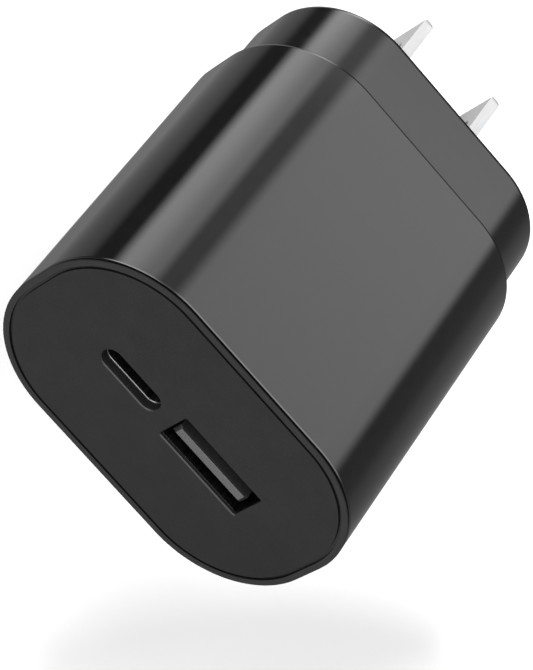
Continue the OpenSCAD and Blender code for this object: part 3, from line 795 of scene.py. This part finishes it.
NODE_MATERIALS = {
    "blade_carrier": carrier_ivory,
    "line_contact": contact_bronze,
    "neutral_contact": contact_bronze,
    "main_board": board_green,
    "port_board": board_green,
    "usb_c_contacts": contact_gold,
    "usb_a_contacts": contact_gold,
    "fuse": fuse_sleeve,
    "bridge_rectifier": chip_black,
    "filter_choke_core": ferrite,
    "filter_choke_winding": copper_winding,
    "input_capacitor_left": can_sleeve,
    "input_capacitor_right": can_sleeve,
    "capacitor_seals": seal_rubber,
    "primary_controller": chip_black,
    "transformer_core_front": ferrite,
    "transformer_core_rear": ferrite,
    "transformer_bobbin": chip_black,
    "primary_winding": copper_winding,
    "secondary_winding": litz_winding,
    "transformer_tape": tape_yellow,
    "y_capacitor": ceramic_blue,
    "optocoupler": chip_ivory,
    "sync_rectifier": chip_black,
    "output_capacitors": can_aluminium,
    "pd_controller": chip_black,
    "chip_parts": chip_tan,
    "thermal_pad": pad_grey,
    "heat_spreader": spreader_aluminium,
    "insulation_sheet": sheet_cream,
}

for node_name, node_material in NODE_MATERIALS.items():
    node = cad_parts[node_name]
    if not node.material_slots:
        node.data.materials.append(node_material)
    for material_slot in node.material_slots:
        material_slot.material = node_material


# ---- studio ----

# The world's light is a level round the Y axis times a factor along it. GREY_ROOM is the level
# where there is no panel.
GREY_ROOM = 0.30
# Long light panels that run along Y, by their angle round Y in degrees, from straight up
# towards +X: where each starts and is full, where it begins to fade and ends, and how bright
# it is. A flag has less than nothing and takes light away.
PANELS = (
    ("side panel", -88, -72, -43, -29, 2.0),
    ("side panel core", -88, -72, -68, -42, 1.2),
    ("between panels", -43, -29, -16, -1, 0.33),
    ("top panel", -18, -1, 41, 56, 1.75),
    ("top panel core", -18, -1, 18, 47, 0.4),
    ("side flag", -116, -104, -90, -83, -0.26),
    ("side glow", -178, -160, -124, -112, 0.09),
    ("far side flag", 52, 60, 76, 95, -0.10),
)

# Changes along Y, each between two values of the direction's Y part (-1 is the port end):
# the boost at the port end falls to a dim stretch, which then comes back to full
FRONT_BOOST = 2.2
FRONT_DIM = 0.86
BOOST_Y = (0.05, 0.48)
BACK_TO_FULL_Y = (0.62, 0.72)
# Towards the wall end the light over the case is shaded and the light beside it has a sheen,
# divided by these degrees round Y, and all of it is shaded at the far end
REAR_SHADE = 0.12
REAR_SHEEN = 1.1
SHADE_Y = (0.71, 0.84)
SHEEN_Y = (0.745, 0.79)
FAR_END_Y = (0.94, 0.97)
BESIDE_TO_TOP = (-50, -30)
# Light added between the side panel and the top panel, near the wall end only
WALL_END_FILL = 0.5
FILL_Y = (0.716, 0.730)
FILL_ROUND = (-44, -30, -5, 22)

FLOOR_DROP = 24
FLOOR_Z = shell_low.z - FLOOR_DROP
# Soft oval shadow on the floor: its centre and its two half axes, the way the light travels,
# and how far the card that makes it stands from the floor
OVAL_CENTRE = Vector((36.0, -37.5, FLOOR_Z))
OVAL_LONG = Vector((25.7, 29.5, 0))
OVAL_SHORT = Vector((-6.4, 9.0, 0))
OVAL_STEPS = 72
LIGHT_WAY = Vector((0.209, 0.667, -0.716))
CARD_DISTANCE = 60


def radians(degrees):
    return [math.radians(angle) for angle in degrees]


def smooth_step(tree, value, start, end, low, high):
    """Goes smoothly from low to high as the value goes from start to end."""
    step = tree.nodes.new("ShaderNodeMapRange")
    step.interpolation_type = "SMOOTHSTEP"
    step.inputs["From Min"].default_value = start
    step.inputs["From Max"].default_value = end
    step.inputs["To Min"].default_value = low
    step.inputs["To Max"].default_value = high
    tree.links.new(value, step.inputs["Value"])
    return step.outputs["Result"]


def arithmetic(tree, operation, first, second):
    """Math node; each operand is a number or another node's output."""
    node = tree.nodes.new("ShaderNodeMath")
    node.operation = operation
    for socket, value in zip(node.inputs, (first, second)):
        if isinstance(value, (int, float)):
            socket.default_value = value
        else:
            tree.links.new(value, socket)
    return node.outputs[0]


def bell(tree, angle, degrees, height):
    """Rises smoothly from 0 to height over the first two angles and falls over the last two."""
    start, full, fade, end = radians(degrees)
    rise = smooth_step(tree, angle, start, full, 0, height)
    fall = smooth_step(tree, angle, fade, end, 1, 0)
    return arithmetic(tree, "MULTIPLY", rise, fall)


def level_round_y(tree, angle, along):
    """Light of the grey room, the panels and flags, and the fill near the wall end."""
    total = GREY_ROOM
    for _, *degrees, brightness in PANELS:
        total = arithmetic(tree, "ADD", bell(tree, angle, degrees, brightness), total)
    wall_end = smooth_step(tree, along, *FILL_Y, 0, WALL_END_FILL)
    fill = arithmetic(tree, "MULTIPLY", wall_end, bell(tree, angle, FILL_ROUND, 1))
    return arithmetic(tree, "ADD", total, fill)


def factor_along_y(tree, angle, along):
    """Boost at the port end, dim stretch, and the shade and sheen towards the wall end."""
    boost = smooth_step(tree, along, *BOOST_Y, FRONT_BOOST, FRONT_DIM)
    back_to_full = smooth_step(tree, along, *BACK_TO_FULL_Y, 1, 1 / FRONT_DIM)
    front = arithmetic(tree, "MULTIPLY", boost, back_to_full)
    on_top = smooth_step(tree, angle, *radians(BESIDE_TO_TOP), 0, 1)
    beside = arithmetic(tree, "SUBTRACT", 1, on_top)
    shade = smooth_step(tree, along, *SHADE_Y, 0, REAR_SHADE - 1)
    sheen = smooth_step(tree, along, *SHEEN_Y, 0, REAR_SHEEN)
    change = arithmetic(tree, "ADD", arithmetic(tree, "MULTIPLY", shade, on_top),
                        arithmetic(tree, "MULTIPLY", sheen, beside))
    far_end = smooth_step(tree, along, *FAR_END_Y, 1, REAR_SHADE)
    rear = arithmetic(tree, "MULTIPLY", arithmetic(tree, "ADD", change, 1), far_end)
    return arithmetic(tree, "MULTIPLY", front, rear)


def make_studio():
    """World that lights and is mirrored in the object, while the camera sees plain white."""
    world = bpy.data.worlds.new("studio")
    bpy.context.scene.world = world
    world.use_nodes = True
    tree = world.node_tree
    tree.nodes.clear()
    coords = tree.nodes.new("ShaderNodeTexCoord")
    parts = tree.nodes.new("ShaderNodeSeparateXYZ")
    tree.links.new(coords.outputs["Generated"], parts.inputs[0])
    along = parts.outputs["Y"]
    angle = arithmetic(tree, "ARCTAN2", parts.outputs["X"], parts.outputs["Z"])
    light = arithmetic(tree, "MULTIPLY", level_round_y(tree, angle, along),
                       factor_along_y(tree, angle, along))
    room = tree.nodes.new("ShaderNodeBackground")
    tree.links.new(light, room.inputs["Strength"])
    backdrop = tree.nodes.new("ShaderNodeBackground")
    backdrop.inputs["Strength"].default_value = 1.0
    for background in (room, backdrop):
        background.inputs["Color"].default_value = (1, 1, 1, 1)
    path = tree.nodes.new("ShaderNodeLightPath")
    mix = tree.nodes.new("ShaderNodeMixShader")
    output = tree.nodes.new("ShaderNodeOutputWorld")
    tree.links.new(path.outputs["Is Camera Ray"], mix.inputs[0])
    tree.links.new(room.outputs[0], mix.inputs[1])
    tree.links.new(backdrop.outputs[0], mix.inputs[2])
    tree.links.new(mix.outputs[0], output.inputs["Surface"])


def make_floor():
    """Wide pale floor below the object, left out of its mirror-like reflections."""
    reach = 4000
    bm = bmesh.new()
    corners = ((-reach, -reach), (reach, -reach), (reach, reach), (-reach, reach))
    bm.faces.new([bm.verts.new(Vector((x, y, FLOOR_Z)) * MM) for x, y in corners])
    floor = new_piece("floor", bm)
    floor.data.materials.append(floor_white)
    floor.visible_glossy = False
    return floor


def make_shadow_card():
    """Oval card over the floor, hidden from every ray but the ones that cast its shadow."""
    bm = bmesh.new()
    rim = []
    for step in range(OVAL_STEPS):
        angle = 2 * math.pi * step / OVAL_STEPS
        on_floor = OVAL_CENTRE + OVAL_LONG * math.cos(angle) + OVAL_SHORT * math.sin(angle)
        rim.append(bm.verts.new((on_floor - LIGHT_WAY.normalized() * CARD_DISTANCE) * MM))
    bm.faces.new(rim)
    card = new_piece("shadow_card", bm)
    for rays in ("camera", "diffuse", "glossy", "transmission", "volume_scatter"):
        setattr(card, "visible_" + rays, False)
    return card


def make_floor_lamp(floor, card):
    """Lamp for the floor alone: the card gives it the faint soft oval below the object."""
    data = bpy.data.lights.new("floor_lamp", "SUN")
    data.energy = 6.5
    data.angle = math.radians(13.5)
    lamp = bpy.data.objects.new("floor_lamp", data)
    bpy.context.scene.collection.objects.link(lamp)
    lamp.rotation_mode = "QUATERNION"
    lamp.rotation_quaternion = LIGHT_WAY.to_track_quat("-Z", "Y")
    lit = bpy.data.collections.new("lit_by_floor_lamp")
    lit.objects.link(floor)
    lamp.light_linking.receiver_collection = lit
    blockers = bpy.data.collections.new("blocks_floor_lamp")
    blockers.objects.link(card)
    lamp.light_linking.blocker_collection = blockers


def make_camera():
    """Camera above the port end, rolled so that the object stands on its corner."""
    place = Vector((-69.77, -264.00, 245.72))
    heading = math.radians(17.411)
    pitch = math.radians(-45.687)
    roll = math.radians(60.881)
    data = bpy.data.cameras.new("camera")
    data.sensor_width = 36
    data.lens = 164.4
    data.clip_start = 0.01
    data.clip_end = 20
    camera = bpy.data.objects.new("camera", data)
    bpy.context.scene.collection.objects.link(camera)
    level = math.cos(pitch)
    look = Vector((math.sin(heading) * level, math.cos(heading) * level, math.sin(pitch)))
    camera.rotation_mode = "QUATERNION"
    aimed = look.to_track_quat("-Z", "Y")
    camera.rotation_quaternion = aimed @ Quaternion((0, 0, 1), roll)
    camera.location = place * MM
    bpy.context.scene.camera = camera


make_studio()
make_floor_lamp(make_floor(), make_shadow_card())
make_camera()
bpy.context.scene.view_settings.view_transform = "Standard"
